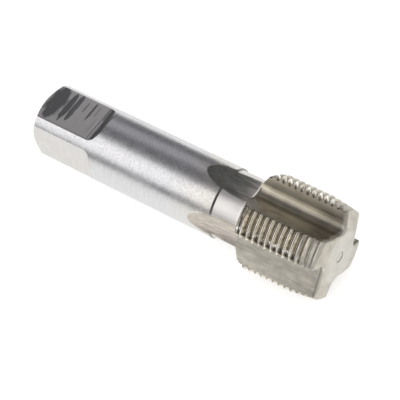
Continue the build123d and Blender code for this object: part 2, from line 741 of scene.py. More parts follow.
    def _bar(self) -> None:
        """The chamfer, the square, the shank and the neck with the run-outs."""
        sizes, edge = self.sizes, self.sizes.edge_break
        square = (Zone.SQUARE, Zone.SHANK)
        runout = (Zone.RUNOUT, Zone.SHANK)
        flat_start = (sizes.flat_height - self.radius(0.0)) * slope(sizes.end_chamfer_angle)
        for x in (edge, flat_start):
            self._bar_ring(x, (Zone.TURNED_END, Zone.TURNED_END))
        for x in np.linspace(flat_start, sizes.end_chamfer_length - edge, self.steps.chamfer + 1)[1:]:
            self._bar_ring(x, (Zone.SQUARE, Zone.TURNED_END))
        for x in np.linspace(sizes.end_chamfer_length + edge, sizes.square_length, self.steps.square + 1):
            self._bar_ring(x, square)
        rise = sizes.shank_radius - sizes.flat_height
        lift = math.acos(1 - rise / sizes.square_runout_radius)
        for angle in np.linspace(0, lift, self.steps.square_runout + 1)[1:]:
            self._bar_ring(sizes.square_length + sizes.square_runout_radius * math.sin(angle), square)
        for x in np.linspace(sizes.square_end + edge, self.scoop.start, self.steps.shank + 1):
            self._bar_ring(x, (Zone.SHANK, Zone.SHANK))
        reach = sizes.neck_start - edge - self.scoop.start
        for share in np.linspace(0, 1, self.steps.scoop + 1)[1:]:
            self._bar_ring(self.scoop.start + reach * share**self.SCOOP_CROWDING, runout)
        neck = sizes.neck_start + sizes.neck_step
        for x in (sizes.neck_start + edge, neck - edge, neck + edge):
            self._bar_ring(x, runout)
        for x in np.linspace(neck + edge, sizes.head_back, self.steps.neck + 1)[1:-1]:
            self._bar_ring(x, runout)

    def _head_ring(self, x: np.ndarray | float, zones: tuple[Zone, Zone], share: float = 1.0) -> None:
        """Adds a ring of the head, whose points may lie at different places along X.

        Args:
            x: Place along X, of all the points or of each.
            zones: The finishes of the hollows and of the ridges, up to the next ring.
            share: How much of their full size the broken edges of the lands have.
        """
        places = np.full(QUARTERS * self.columns.quarter, x)
        radii = [round(self.radius(float(place)), 5) for place in places]
        sections = {radius: self.head_section(radius, share) for radius in set(radii)}
        points, ways, eases = (
            np.array([sections[radius][part][index] for index, radius in enumerate(radii)])
            for part in range(3)
        )
        self.add_ring(places, points, zones, ways, eases)

    def _head(self) -> None:
        """The shoulder and the lands, with rings that lean along the thread's helix."""
        sizes = self.sizes
        head = (Zone.FLUTE, Zone.THREAD)
        back = self.bar_section(sizes.head_back, break_edges=False)
        self.add_ring(sizes.head_back, back, (Zone.RUNOUT, Zone.THREAD))
        for x in np.linspace(sizes.head_back, sizes.shoulder_end, self.steps.shoulder + 1)[:-1]:
            self._head_ring(x, head, min(1.0, (x - sizes.head_back) / self.EASE_RUN))
        leans = self.lean_of_columns()
        start, stop = sizes.shoulder_end, sizes.lead_end - sizes.tip_round
        self._head_ring(start, head)
        for place in self.thread_marks():
            x = np.clip(place + leans, start, stop)
            if x.max() > start + self.TINY and x.min() < stop - self.TINY:
                self._head_ring(x, head)
        self._head_ring(stop, head)

    def thread_marks(self) -> np.ndarray:
        """Works out where the thread changes slope, on the line where the helix doesn't lean.

        Returns:
            Places along X.
        """
        sizes = self.sizes
        half = [sizes.root_flat / 2 - sizes.crest_break, sizes.root_flat / 2 + sizes.crest_break]
        half += [sizes.mouth / 2 - sizes.crest_break, sizes.mouth / 2 + sizes.crest_break]
        half.append((sizes.mouth + sizes.root_flat) / 4)
        marks = sorted([-value for value in half] + half)
        first = sizes.head_back + sizes.thread_phase
        turns = range(-2, int(sizes.head_length / sizes.pitch) + 3)
        return np.array([first + turn * sizes.pitch + mark for turn in turns for mark in marks])

    def _tip(self) -> None:
        """The rounded rim of the tip, its blunt cone and flat, and the centre hole in it."""
        sizes, edge = self.sizes, self.sizes.edge_break
        ends = (Zone.TURNED_END, Zone.TURNED_END)
        for step in range(self.steps.rim + 1):
            turn = math.pi / 2 * step / self.steps.rim
            behind = sizes.tip_round * (1 - math.sin(turn))
            inset = sizes.tip_round * (1 - math.cos(turn))
            on_side = step < self.steps.rim / 2
            self._tip_ring(inset, behind, (Zone.FLUTE, Zone.THREAD) if on_side else ends)
        self._tip_ring(sizes.tip_round + edge, 0.0, ends)
        rim = self.rings[-1].points[:, 1:]
        radii = np.linalg.norm(rim, axis=1)
        rim_angles = np.array([angle_of(point) for point in rim])
        angles = self._face_angles(rim_angles[: self.columns.quarter])
        turn_to = (angles - rim_angles + 180) % 360 - 180
        for size in (sizes.tip_flat_radius + edge, sizes.tip_flat_radius - edge):
            inner = np.minimum(radii, size)
            moved = (radii - inner) / np.maximum(radii - size, self.TINY) * turn_to
            ring = np.array([polar(radius, angle) for radius, angle in zip(inner, rim_angles + moved)])
            self.add_ring(np.array([sizes.tip_place(radius) for radius in inner]), ring, ends)
        for depth, radius in [(0.0, sizes.face_foot - sizes.tip_round)] + self._hole()[::-1]:
            circle = np.array([polar(max(radius, self.NARROW), angle) for angle in angles])
            self.add_ring(sizes.length - depth, circle, ends)

    def _face_angles(self, quarter: np.ndarray) -> np.ndarray:
        """Spreads the columns over the tip's face, where they crowd together at its rim.

        Args:
            quarter: The angles at which a quarter's columns reach the rim.

        Returns:
            The angle of every column on the face.
        """
        columns = self.columns
        face, rest = np.linspace(1, 0, columns.face + 1), np.zeros(columns.hollow - columns.face)
        shares = self.shares(self.heel_share, self.lip_share, False)
        own = quarter - np.concatenate([face, rest, shares]) * self.COLUMN_TUCK
        return np.concatenate([own + QUARTER_ANGLE * place for place in range(QUARTERS)])

    def _tip_ring(self, inset: float, behind: float, zones: tuple[Zone, Zone]) -> None:
        """Adds a ring of the tip's rounded rim.

        Args:
            inset: How far it lies inside the walls of the head.
            behind: How far it lies behind the tip's face.
            zones: The finishes of the hollows and of the ridges, up to the next ring.
        """
        sizes = self.sizes
        radius = sizes.lead_radius + behind * slope(sizes.lead_angle) - inset
        points, ways, eases = self.head_section(radius, 1.0, inset)
        places = [sizes.tip_place(float(np.linalg.norm(point))) - behind for point in points]
        self.add_ring(np.array(places), points, zones, ways, eases)

    def _skin(self) -> bpy.types.Object:
        """Joins the rings into one closed mesh.

        Returns:
            An object with the skin.
        """
        quarter = self.columns.quarter
        count = QUARTERS * quarter
        faces, zones = [], []
        for place, ring in enumerate(self.rings[:-1]):
            base, top = place * count, (place + 1) * count
            for column in range(count):
                after = (column + 1) % count
                faces.append((base + column, base + after, top + after, top + column))
                on_ridge = column % quarter >= self.columns.hollow
                zones.append(ring.zones[on_ridge].value)
        points = np.vstack([ring.points for ring in self.rings]) * MM
        ways = np.vstack([ring.ways for ring in self.rings])
        eases = np.concatenate([ring.eases for ring in self.rings]) * MM
        mesh = bpy.data.meshes.new("tap_skin")
        mesh.from_pydata([tuple(point) for point in points], [], faces)
        way = mesh.attributes.new("way", "FLOAT_VECTOR", "POINT")
        way.data.foreach_set("vector", np.insert(ways, 0, 0.0, axis=1).astype(np.float32).ravel())
        ease = mesh.attributes.new("ease", "FLOAT", "POINT")
        ease.data.foreach_set("value", eases.astype(np.float32))
        zone = mesh.attributes.new("zone", "INT", "FACE")
        zone.data.foreach_set("value", zones)
        mesh.update()
        piece = bpy.data.objects.new("tap_body", mesh)
        bpy.context.collection.objects.link(piece)
        return piece


# ---------------------------------------------------------------------------------------------
# Node trees
# ---------------------------------------------------------------------------------------------


def operators(operation: str) -> tuple[Callable, Callable]:
    """Makes the two methods of one of Python's operators on a value.

    Args:
        operation: The Math node's name for it.

    Returns:
        The method for a value on the left, and the reflected one for a value on the right.
    """

    def plain(value: "Value", other: "Value | float") -> "Value":
        """The operation with the value on the left."""
        return value.maths(operation, value, other)

    def reflected(value: "Value", other: float) -> "Value":
        """The operation with the value on the right."""
        return value.maths(operation, other, value)

    return plain, reflected


class Value:
    """A number on a link of a node tree, which Python's own operators work on."""

    __add__, __radd__ = operators("ADD")
    __sub__, __rsub__ = operators("SUBTRACT")
    __mul__, __rmul__ = operators("MULTIPLY")
    __truediv__, __rtruediv__ = operators("DIVIDE")
    __pow__, __rpow__ = operators("POWER")
    __gt__, __lt__ = operators("GREATER_THAN")

    def __init__(self, tree: "Tree", socket: bpy.types.NodeSocket) -> None:
        """Takes the tree that the socket is in, and the output that gives the number."""
        self.tree = tree
        self.socket = socket

    def maths(self, operation: str, *terms: "Value | float") -> "Value":
        """A Math node on these terms."""
        node = self.tree.add("ShaderNodeMath", {"operation": operation}, dict(enumerate(terms)))
        return Value(self.tree, node.outputs[0])

    def __neg__(self) -> "Value":
        """The number with its sign changed."""
        return self.maths("MULTIPLY", self, -1.0)

    def __abs__(self) -> "Value":
        """The number without its sign."""
        return self.maths("ABSOLUTE", self)

    def root(self) -> "Value":
        """Square root."""
        return self.maths("SQRT", self)

    def angle_over(self, across: "Value") -> "Value":
        """Angle, in radians, of a point that lies this far up and so far across."""
        return self.maths("ARCTAN2", self, across)

    def at_least(self, low: "Value | float") -> "Value":
        """The number, or low if it is less."""
        return self.maths("MAXIMUM", self, low)

    def at_most(self, high: "Value | float") -> "Value":
        """The number, or high if it is more."""
        return self.maths("MINIMUM", self, high)

    def clipped(self) -> "Value":
        """The number kept between nil and one."""
        return self.at_least(0.0).at_most(1.0)

    def turns_left(self) -> "Value":
        """The number less its nearest whole number, from -0.5 to 0.5."""
        return self.maths("WRAP", self, 0.5, -0.5)

    def ramp(self, low: float, high: float) -> "Value":
        """Makes a smooth step.

        Args:
            low: The number up to which the step is nil.
            high: The number from which the step is one.

        Returns:
            The step.
        """
        settings = {"interpolation_type": "SMOOTHSTEP"}
        inputs = {"Value": self, "From Min": low, "From Max": high}
        return Value(self.tree, self.tree.add("ShaderNodeMapRange", settings, inputs).outputs[0])

    def near(self, middle: float, core: float, reach: float) -> "Value":
        """A smooth band about a middle number, whole as far as the core and nil beyond the reach."""
        return 1.0 - abs(self - middle).ramp(core, reach)


class Tree:
    """A node tree that nodes are added to by type, settings and inputs."""

    def __init__(self, tree: bpy.types.NodeTree) -> None:
        """Takes the tree to fill, which is emptied first."""
        self.tree = tree
        tree.nodes.clear()

    def add(self, kind: str, settings: dict | None = None, inputs: dict | None = None) -> bpy.types.Node:
        """Adds a node.

        Args:
            kind: The node's type.
            settings: Its properties, set first.
            inputs: What each socket, by name or place, takes: a value, a link or a constant.

        Returns:
            The node.
        """
        node = self.tree.nodes.new(kind)
        for name, setting in (settings or {}).items():
            setattr(node, name, setting)
        for name, given in (inputs or {}).items():
            if isinstance(given, (Value, bpy.types.NodeSocket)):
                self.tree.links.new(given.socket if isinstance(given, Value) else given, node.inputs[name])
            else:
                node.inputs[name].default_value = given
        return node

    def mix(
        self, share: "Value | float", first: Paint, second: Paint, blend: str = "MIX"
    ) -> bpy.types.NodeSocket:
        """Blends two colours, each given as a link or as a constant.

        Args:
            share: How much of the second there is.
            first: The colour at nil.
            second: The colour at one.
            blend: The name of Blender's way of blending.

        Returns:
            The blend.
        """
        ends = {6: first, 7: second}
        inputs = {place: (*end, 1.0) if isinstance(end, tuple) else end for place, end in ends.items()}
        settings = {"data_type": "RGBA", "blend_type": blend}
        return self.add("ShaderNodeMix", settings, {0: share, **inputs}).outputs[2]

    def grey(self, level: Value) -> bpy.types.NodeSocket:
        """A grey of this level."""
        return self.add("ShaderNodeCombineColor", inputs={0: level, 1: level, 2: level}).outputs[0]

    def tone(self, colour: Paint, change: Value) -> bpy.types.NodeSocket:
        """A colour made lighter or darker by a change, which is a share of it."""
        return self.mix(1.0, colour, self.grey(change + 1.0), "MULTIPLY")

    def parts(self, vector: bpy.types.NodeSocket) -> tuple[Value, Value, Value]:
        """The three numbers of a vector."""
        node = self.add("ShaderNodeSeparateXYZ", inputs={0: vector})
        return tuple(Value(self, output) for output in node.outputs)

    def noise(self, place: tuple[Value, Value, Value], detail: float) -> Value:
        """Makes a soft random pattern with grains one unit long.

        Args:
            place: The three numbers of the place.
            detail: How many finer patterns it has in it.

        Returns:
            The pattern, around nil and from about -1 to 1.
        """
        vector = self.add("ShaderNodeCombineXYZ", inputs=dict(enumerate(place))).outputs[0]
        inputs = {"Vector": vector, "Scale": 1.0, "Detail": detail, "Roughness": NOISE_ROUGHNESS}
        return (Value(self, self.add("ShaderNodeTexNoise", inputs=inputs).outputs[0]) - 0.5) * NOISE_GAIN


def new_material(name: str) -> tuple[bpy.types.Material, Tree]:
    """Makes a material without nodes.

    Args:
        name: Its name.

    Returns:
        The material and its tree.
    """
    made = bpy.data.materials.new(name)
    made.use_nodes = True
    return made, Tree(made.node_tree)


def new_panel(name: str, corners: list[Vector], material: bpy.types.Material) -> bpy.types.Object:
    """Makes a flat panel of the stage.

    Args:
        name: Its name.
        corners: Its four corners in order.
        material: Its material.

    Returns:
        The panel.
    """
    mesh = bpy.data.meshes.new(name)
    mesh.from_pydata([tuple(corner) for corner in corners], [], [(0, 1, 2, 3)])
    mesh.materials.append(material)
    panel = bpy.data.objects.new(name, mesh)
    bpy.context.collection.objects.link(panel)
    return panel


# ---------------------------------------------------------------------------------------------
# The thread
# ---------------------------------------------------------------------------------------------


@dataclass(frozen=True)
class ThreadCutter:
    """Cuts the helical thread into the plain lands with a tree of Geometry Nodes."""

    sizes: TapSizes
    finishes: dict[Zone, bpy.types.Material]

    LENGTHS = ("Pitch", "Crest Radius", "Root Radius", "Groove Mouth", "Groove Floor", "First Groove")

    def _interface(self, group: bpy.types.NodeTree) -> None:
        """Gives a tree its named inputs and its output.

        Args:
            group: The tree.
        """
        add = group.interface.new_socket
        add("Geometry", in_out="INPUT", socket_type="NodeSocketGeometry")
        for name in self.LENGTHS:
            add(name, in_out="INPUT", socket_type="NodeSocketFloat")
        for zone in Zone:
            add(zone.name.title(), in_out="INPUT", socket_type="NodeSocketMaterial")
        add("Geometry", in_out="OUTPUT", socket_type="NodeSocketGeometry")

    def _stored(self, tree: Tree, name: str, kind: str) -> bpy.types.NodeSocket:
        """A value stored on the mesh under a name."""
        return tree.add("GeometryNodeInputNamedAttribute", {"data_type": kind}, {"Name": name}).outputs[0]

    def _shift(self, tree: Tree, lengths: list[Value]) -> bpy.types.NodeSocket:
        """Works out how each point moves along its own way to lie in the groove.

        Args:
            tree: The tree.
            lengths: The thread's sizes, in the order of their names.

        Returns:
            The shift of a point.
        """
        pitch, crest, root, mouth, floor, first = lengths
        x, y, z = tree.parts(tree.add("GeometryNodeInputPosition").outputs[0])
        radius = (y * y + z * z).root()
        turns = (x - first) / pitch - z.angle_over(y) / (2 * math.pi) + 0.5 / QUARTERS
        away = abs(turns.turns_left()) * pitch
        rise = (away - floor / 2).at_least(0.0) * (crest - root) / ((mouth - floor) / 2)
        outside = away > mouth / 2
        goal = radius.at_most(root + rise - Value(tree, self._stored(tree, "ease", "FLOAT")) + outside)
        way = self._stored(tree, "way", "FLOAT_VECTOR")
        _, way_y, way_z = tree.parts(way)
        along = y * way_y + z * way_z
        slide = -along - (along * along - radius * radius + goal * goal).at_least(0.0).root()
        scaled = tree.add("ShaderNodeVectorMath", {"operation": "SCALE"}, {0: way, "Scale": slide})
        return scaled.outputs[0]

    def tree(self) -> bpy.types.NodeTree:
        """Builds the tree.

        Returns:
            The tree, whose inputs are the thread's sizes and the finishes of the zones.
        """
        group = bpy.data.node_groups.new("cut_thread", "GeometryNodeTree")
        self._interface(group)
        tree = Tree(group)
        given = tree.add("NodeGroupInput").outputs
        shift = self._shift(tree, [Value(tree, given[name]) for name in self.LENGTHS])
        inputs = {"Geometry": given["Geometry"], "Offset": shift}
        moved = tree.add("GeometryNodeSetPosition", inputs=inputs).outputs[0]
        whole = tree.add("GeometryNodeRealizeInstances", inputs={0: moved}).outputs[0]
        index = Value(tree, self._stored(tree, "zone", "INT"))
        for zone in Zone:
            chosen = (index > zone.value - 0.5) * (zone.value + 0.5 > index)
            inputs = {"Geometry": whole, "Selection": chosen, "Material": given[zone.name.title()]}
            whole = tree.add("GeometryNodeSetMaterial", inputs=inputs).outputs[0]
        tree.add("NodeGroupOutput", inputs={"Geometry": whole})
        return group

    def cut(self, blank: bpy.types.Object) -> bpy.types.Object:
        """Cuts the thread and makes the result a plain mesh.

        Args:
            blank: The plain skin, whose mesh is replaced.

        Returns:
            The same object.
        """
        sizes = self.sizes
        modifier = blank.modifiers.new("cut_thread", "NODES")
        modifier.node_group = self.tree()
        first = sizes.head_back + sizes.thread_phase
        lengths = (sizes.pitch, sizes.thread_radius, sizes.root_radius, sizes.mouth, sizes.root_flat, first)
        values = dict(zip(self.LENGTHS, (length * MM for length in lengths)))
        values.update({zone.name.title(): self.finishes[zone] for zone in Zone})
        for item in modifier.node_group.interface.items_tree:
            if item.in_out == "INPUT" and item.name in values:
                modifier[item.identifier] = values[item.name]
        graph = bpy.context.evaluated_depsgraph_get()
        mesh = bpy.data.meshes.new_from_object(blank.evaluated_get(graph), depsgraph=graph)
        blank.modifiers.clear()
        blank.data = mesh
        return blank


# ---------------------------------------------------------------------------------------------
# Finishes
# ---------------------------------------------------------------------------------------------


@dataclass(frozen=True)
class Mark:
    """A soft random pattern in the steel, with the change it makes in tone, roughness and height."""

    along: float
    across: float
    detail: float = 2.0
    seed: float = 0.0
    tone: float = 0.0
    roughness: float = 0.0
    height: float = 0.0


@dataclass(frozen=True)
class Fade:
    """A smooth step along a number, from nil at one place to an amount at another."""

    low: float
    high: float
    amount: float = 1.0
    waver: float = 0.0

    def along(self, number: Value, pattern: "Value | float" = 0.0) -> Value:
        """The step at a number, whose place wavers with a pattern."""
        return (number + pattern * self.waver).ramp(self.low, self.high) * self.amount


class Place:
    """Where a shaded point lies: the piece's own coordinates in millimetres, and patterns on them."""

    def __init__(self, tree: Tree) -> None:
        """Args:
            tree: The material's tree.
        """
        self.tree = tree
        x, y, z = tree.parts(tree.add("ShaderNodeTexCoord").outputs["Object"])
        self.x, self.y, self.z = x / MM, y / MM, z / MM
        self.radius = (self.y * self.y + self.z * self.z).root()
        self.angle = z.angle_over(y)

    def pattern(self, mark: Mark) -> Value:
        """The pattern of a mark, around nil."""
        x, y, z = self.x / mark.along, self.y / mark.across, self.z / mark.across
        return self.tree.noise((x + mark.seed, y + mark.seed, z), mark.detail)


@dataclass
class Surface:
    """What a finish gives at a point: a colour, a roughness and a height in millimetres."""

    colour: bpy.types.NodeSocket
    roughness: Value
    height: Value
    metallic: "Value | float" = 1.0


@dataclass(frozen=True)
class Steel(ABC):
    """Bare steel, whose marks each kind of surface gives."""

    sizes: TapSizes
    name: str
    colour: Colour
    roughness: float

    @abstractmethod
    def surface(self, place: Place) -> Surface:
        """Works out the finish at a point.

        Args:
            place: The shaded point.

        Returns:
            The finish there.
        """

    def material(self) -> bpy.types.Material:
        """Builds the material.

        Returns:
            A metal whose marks follow the piece's own coordinates.
        """
        made, tree = new_material(self.name)
        surface = self.surface(Place(tree))
        bump_inputs = {"Strength": 1.0, "Distance": 1.0, "Height": surface.height * MM}
        bump = tree.add("ShaderNodeBump", inputs=bump_inputs)
        inputs = {
            "Base Color": surface.colour,
            "Metallic": surface.metallic,
            "Roughness": surface.roughness.clipped(),
            "Normal": bump.outputs[0],
        }
        shader = tree.add("ShaderNodeBsdfPrincipled", inputs=inputs)
        tree.add("ShaderNodeOutputMaterial", inputs={"Surface": shader.outputs[0]})
        return made


@dataclass(frozen=True)
class TurnedSteel(Steel):
    """Steel turned or ground between centres, with fine rings round it and faint blotches."""

    rings: Mark = Mark(0.3, 4.0, 3.0, tone=0.05, roughness=0.04, height=0.0007)
    blotches: Mark = Mark(5.0, 3.0, 3.0, tone=0.04, roughness=0.05, height=0.004)

    def surface(self, place: Place) -> Surface:
        """Works out the finish at a point.

        Args:
            place: The shaded point.

        Returns:
            The finish there.
        """
        rings, blotches = place.pattern(self.rings), place.pattern(self.blotches)
        tone = rings * self.rings.tone + blotches * self.blotches.tone
        roughness = rings * self.rings.roughness + blotches * self.blotches.roughness + self.roughness
        height = rings * self.rings.height + blotches * self.blotches.height
        return Surface(place.tree.tone(self.colour, tone), roughness, height)


@dataclass(frozen=True)
class GroundBar(TurnedSteel):
    """The bright shank, which warms towards the neck, and the neck, duller and faintly straw-coloured, with
    painted shade along the step to the neck and a painted highlight where the neck meets the shoulder.
    """

    warm: Fade = Fade(-15.0, 0.0, waver=3.0)
    warm_colour: Colour = (0.76, 0.735, 0.68)
    warm_clouds: Mark = Mark(9.0, 5.0, 1.0, 1.0)
    neck_colour: Colour = (0.85, 0.82, 0.785)
    neck_roughness: float = 0.4
    straw: Fade = Fade(-0.2, 0.9, 0.1)
    straw_clouds: Mark = Mark(6.0, 3.0, 2.0, 7.0)
    straw_light: float = 0.03
    speckle: Mark = Mark(0.55, 0.55, 3.0, 4.0, tone=0.28, roughness=0.03, height=0.0012)
    specks: Fade = Fade(0.75, 1.1, 0.45)
    speck_clouds: Mark = Mark(0.7, 0.5, 1.0, 8.0)
    upper: Fade = Fade(1.0, 7.0, 0.7)
    step_place: float = 0.22
    step_width: Span = (0.2, 0.32)
    step_painted_shade: float = 0.6
    shoulder_painted_highlight: Fade = Fade(-0.45, -0.2, 0.16)

    def surface(self, place: Place) -> Surface:
        """Works out the finish at a point.

        Args:
            place: The shaded point.

        Returns:
            The finish there.
        """
        plain, tree, past_shank = super().surface(place), place.tree, place.x - self.sizes.neck_start
        straw = self.straw.along(place.pattern(self.straw_clouds))
        neck_colour = tree.tone(self.neck_colour, self.straw_light - straw)
        upper = self.upper.along(place.z) + (1.0 - self.upper.amount)
        speckle = place.pattern(self.speckle) * upper
        specks = self.specks.along(place.pattern(self.speck_clouds)) * upper
        warm = self.warm.along(past_shank, place.pattern(self.warm_clouds))
        warmed = tree.mix(warm, plain.colour, self.warm_colour)
        bar = tree.tone(warmed, speckle * self.speckle.tone - specks)
        neck = past_shank > 0.0
        # Painted shade darkens the step to the neck, and a painted highlight lightens the neck just before
        # the shoulder.
        step = past_shank.near(self.step_place, *self.step_width)
        lights = step * -self.step_painted_shade + self.shoulder_painted_highlight.along(place.x - self.sizes.head_back)
        colour = tree.tone(tree.mix(neck, bar, neck_colour), lights)
        dull = neck * (self.neck_roughness - self.roughness) + speckle * self.speckle.roughness
        return Surface(colour, plain.roughness + dull, plain.height + speckle * self.speckle.height)


@dataclass(frozen=True)
class Smear:
    """A dark smear across a flat: its place and half width along the axis, and its ends across it."""

    x: float
    half_width: float
    low: float
    high: float
    depth: float

    SQUARENESS = 4.0
    SOFTNESS = 0.35

    def share(self, place: Place, waver: Value) -> Value:
        """Works out how thick the smear lies.

        Args:
            place: The shaded point.
            waver: How far its edge wavers, as a share of its size.

        Returns:
            Nil outside the smear, and its depth well inside it.
        """
        across = abs((place.y - (self.low + self.high) / 2) / ((self.high - self.low) / 2))
        along = abs((place.x - self.x) / self.half_width)
        inside = 1.0 - along - across**self.SQUARENESS + waver
        return inside.ramp(0.0, self.SOFTNESS) * self.depth


@dataclass(frozen=True)
class MilledFlat(Steel):
    """A milled flat with fine lines across it. The top one has dark smears of scale left on it."""

    top: float = 7.3
    lines: Mark = Mark(0.35, 6.0, 3.0, tone=0.12, roughness=0.04, height=0.0006)
    wander: Mark = Mark(1.4, 2.6, 3.0, 3.0, tone=0.05)
    smear_colour: Colour = (0.2, 0.2, 0.2)
    smear_lines: float = 0.3
    lines_waver: float = 0.25
    wander_waver: float = 0.3
    smears: tuple[Smear, ...] = (
        Smear(3.3, 2.85, -6.3, 6.6, 0.95),
        Smear(7.0, 1.0, -5.4, 5.8, 0.95),
        Smear(8.9, 0.9, -4.4, 6.0, 0.9),
        Smear(11.5, 0.35, 0.4, 4.6, 0.6),
        Smear(13.7, 0.42, -1.6, 5.4, 0.85),
        Smear(15.2, 0.25, 0.6, 4.8, 0.4),
        Smear(16.4, 0.2, -5.0, 1.0, 0.35),
        Smear(17.75, 0.16, -8.0, 8.0, 0.8),
        Smear(18.3, 0.6, 0.5, 8.5, 0.6),
        Smear(19.6, 1.15, -9.0, 9.0, 0.8),
    )

    def surface(self, place: Place) -> Surface:
        """Works out the finish at a point.

        Args:
            place: The shaded point.

        Returns:
            The finish there.
        """
        tree = place.tree
        lines, wander = place.pattern(self.lines), place.pattern(self.wander)
        waver = wander * self.wander_waver + lines * self.lines_waver
        smeared, *others = (smear.share(place, waver) for smear in self.smears)
        for other in others:
            smeared = smeared.at_least(other)
        clean = tree.tone(self.colour, lines * self.lines.tone + wander * self.wander.tone)
        dark = tree.tone(self.smear_colour, lines * self.smear_lines)
        colour = tree.mix(smeared * (place.z > self.top), clean, dark)
        return Surface(colour, lines * self.lines.roughness + self.roughness, lines * self.lines.height)


@dataclass(frozen=True)
class WheelGround(Steel):
    """A hollow ground lengthwise: wavy streaks along the axis, and painted shade that makes the upper
    hollows darker than the lower ones.
    """

    low_colour: Colour
    streaks: Mark
    clouds: Mark
    upper_span: Span = (2.5, 6.0)

    def upper(self, place: Place) -> Value:
        """Nil in the lower hollows and one in the upper ones."""
        return place.z.ramp(*self.upper_span)

    def with_painted_shade(self, place: Place) -> bpy.types.NodeSocket:
        """The steel's colour without its streaks, with painted shade: darker in the upper hollows than in
        the lower ones.
        """
        return place.tree.mix(self.upper(place), self.low_colour, self.colour)

    def streaked(self, place: Place) -> Value:
        """How much lighter or darker the streaks and clouds make the steel."""
        clouds = place.pattern(self.clouds) * self.clouds.tone
        return place.pattern(self.streaks) * self.streaks.tone + clouds


@dataclass(frozen=True)
class GroundRunout(WheelGround):
    """A flute's run-out, with a painted highlight that pales the upper run-out towards the crease at its
    end, and a painted bright line in the crease, where the steel is less metallic.
    """

    painted_crease_light: Fade = Fade(-5.0, 0.0, waver=3.0)
    painted_crease_light_colour: Colour = (0.8, 0.75, 0.67)
    line: Fade = Fade(-0.5, -0.25)
    crease_highlight_colour: Colour = (0.92, 0.9, 0.85)
    crease_line_matt: float = 0.5

    def surface(self, place: Place) -> Surface:
        """Works out the finish at a point.

        Args:
            place: The shaded point.

        Returns:
            The finish there.
        """
        tree, upper, streaks = place.tree, self.upper(place), place.pattern(self.streaks)
        to_crease = place.x - self.sizes.head_back
        # Painted highlight: the upper run-out pales towards the crease, and a painted bright line lies in
        # the crease.
        painted_crease_light = self.painted_crease_light.along(to_crease, streaks) * upper
        base = tree.mix(painted_crease_light, self.with_painted_shade(place), self.painted_crease_light_colour)
        line = self.line.along(to_crease) * upper
        colour = tree.mix(line, tree.tone(base, self.streaked(place)), self.crease_highlight_colour)
        roughness = streaks * self.streaks.roughness + self.roughness
        return Surface(colour, roughness, streaks * self.streaks.height, 1.0 - line * self.crease_line_matt)


@dataclass(frozen=True)
class GroundFlute(WheelGround):
    """A flute of the head: painted highlights beside its floor and at its lips, painted shade on its back,
    and a lighter painted highlight and a painted dark line at the tip, where it is dull and waxy.
    """

    blunt: float = 0.4
    tip: Fade = Fade(-0.9, 0.0, waver=0.7)
    tip_highlight_colour: Colour = (0.78, 0.75, 0.66)
    tip_roughness: float = 0.15
    upper_dim: Fade = Fade(-12.0, -3.0, 0.25, 3.0)
    lower_dim: Fade = Fade(-9.0, -2.0, 0.1, 2.0)
    band_radius: float = 9.15
    band_width: Span = (0.15, 1.0)
    band_side: Fade = Fade(3.5, 4.2, 1.4)
    band_end: Fade = Fade(-14.0, -2.0, 0.6)
    lip: Fade = Fade(10.0, 13.0, 1.25)
    lip_side: Span = (1.0, 3.5)
    back_side: Span = (-3.0, 0.5)
    back_painted_shade: float = 0.28
    crease_shade_place: float = -0.15
    crease_shade_width: Span = (0.1, 0.5)
    crease_painted_shade: float = 0.45
    wax: Fade = Fade(0.5, 0.8, 0.55)

    def _light(self, place: Place, to_tip: Value) -> Value:
        """Works out the painted light of the upper flute: a painted highlight beside its floor and at its
        lip, and painted shade on its back.

        Args:
            place: The shaded point.
            to_tip: How far past the lead's end it lies.

        Returns:
            The change, as a share.
        """
        # Painted highlight in a band beside the floor of the upper flute.
        band = place.radius.near(self.band_radius, *self.band_width) * self.band_side.along(place.y)
        band = band * (1.0 - self.band_end.along(to_tip))
        lip = self.lip.along(place.radius) * place.y.ramp(*self.lip_side)
        back = 1.0 - place.y.ramp(*self.back_side)
        return band + lip - back * self.back_painted_shade

    def surface(self, place: Place) -> Surface:
        """Works out the finish at a point.

        Args:
            place: The shaded point.

        Returns:
            The finish there.
        """
        tree, upper = place.tree, self.upper(place)
        streaks, clouds = place.pattern(self.streaks), place.pattern(self.clouds)
        to_tip = place.x - (self.sizes.lead_end - self.blunt)
        upper_painted_light = self._light(place, to_tip) - self.upper_dim.along(to_tip, clouds)
        low_dim = self.lower_dim.along(to_tip, clouds)
        tone = self.streaked(place) + upper_painted_light * upper - low_dim * (1.0 - upper)
        # Near the tip the colour turns to a lighter painted highlight of the rounded tip.
        near_tip = self.tip.along(to_tip, clouds)
        with_tip_highlight = tree.mix(near_tip, tree.tone(self.with_painted_shade(place), tone), self.tip_highlight_colour)
        # A painted dark line of shade across the lower flute, where the tip's rounding begins.
        groove = to_tip.near(self.crease_shade_place, *self.crease_shade_width) * (1.0 - upper)
        colour = tree.tone(with_tip_highlight, groove * -self.crease_painted_shade)
        roughness = streaks * self.streaks.roughness + near_tip * self.tip_roughness + self.roughness
        return Surface(colour, roughness, streaks * self.streaks.height, 1.0 - self.wax.along(to_tip))


